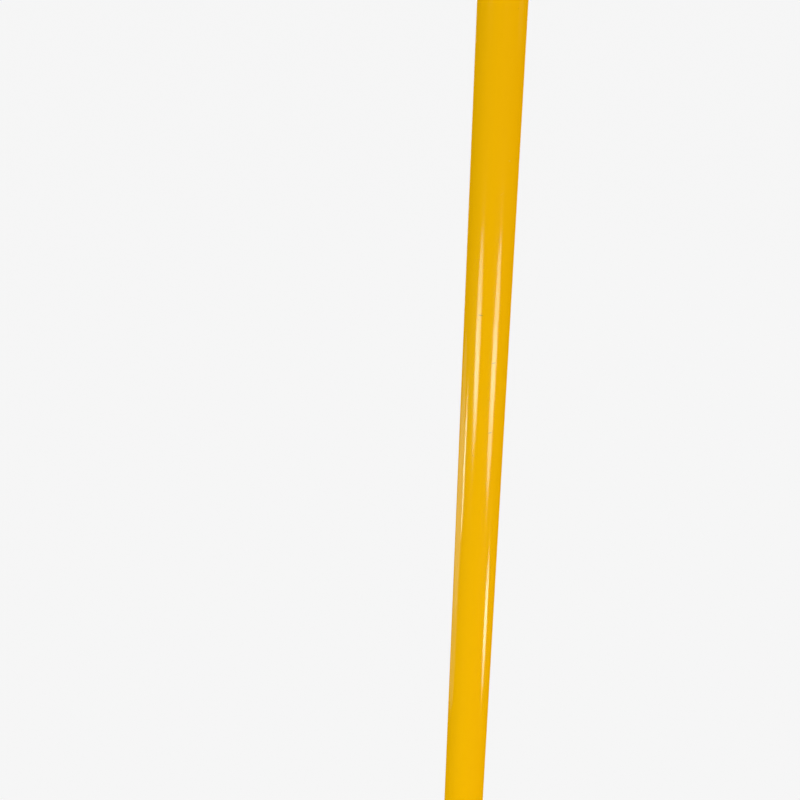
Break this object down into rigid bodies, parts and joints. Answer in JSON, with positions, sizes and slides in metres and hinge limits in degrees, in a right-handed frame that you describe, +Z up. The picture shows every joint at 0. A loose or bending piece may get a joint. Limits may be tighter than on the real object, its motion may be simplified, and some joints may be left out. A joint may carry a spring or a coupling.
{
  "type": "corner pole",
  "caption": "Sprung corner pole: a plain round plastic tube with a low domed cap, on a coil spring that bends any way, with a tread plate and a ground spike.",
  "frame": {"origin": "on the pole's axis at ground level, which is the underside of the tread plate, where the ground holds the spike", "axes": "+Z up along the pole, +X across it through the lower spring hub's grub screw"},
  "size_m": [0.09, 0.09, 1.73],
  "materials": {
    "yellow_pvc": "extruded PVC, glossy, coloured through",
    "yellow_cap": "moulded polyethylene, satin",
    "black_nylon": "moulded nylon, fine texture",
    "zinc_steel": "turned steel, bright zinc plated",
    "galvanised_plate": "pressed steel, hot-dip galvanised",
    "spring_steel": "spring wire, zinc plated",
    "dark_fasteners": "black-oxide alloy steel"
  },
  "bodies": {
    "base": {"ground_spike": "zinc_steel", "tread_plate": "galvanised_plate", "lower_lock_washer": "zinc_steel", "lower_spring_hub": "zinc_steel", "lower_grub_screw": "dark_fasteners"},
    "spring": {"coil_spring": "spring_steel"},
    "pole": {"upper_grub_screw": "dark_fasteners", "upper_spring_hub": "zinc_steel", "base_plug": "black_nylon", "plug_bolt_washer": "zinc_steel", "plug_bolt": "zinc_steel", "plug_screw_1": "zinc_steel", "plug_screw_2": "zinc_steel", "plug_screw_3": "zinc_steel", "pole_tube": "yellow_pvc", "top_cap": "yellow_cap"}
  },
  "joints": [
    {"name": "lower_tilt", "type": "hinge", "parent": "base", "child": "spring", "pos_m": [0, 0, 0.0751], "axis": [1, 0, 0], "range_deg": [-45, 45], "stiffness_Nm_per_rad": 7.7, "deforming": ["coil_spring"]},
    {"name": "upper_tilt", "type": "hinge", "parent": "spring", "child": "pole", "pos_m": [0, 0, 0.1401], "axis": [0, 1, 0], "range_deg": [-45, 45], "stiffness_Nm_per_rad": 7.7, "deforming": ["coil_spring"]}
  ]
}
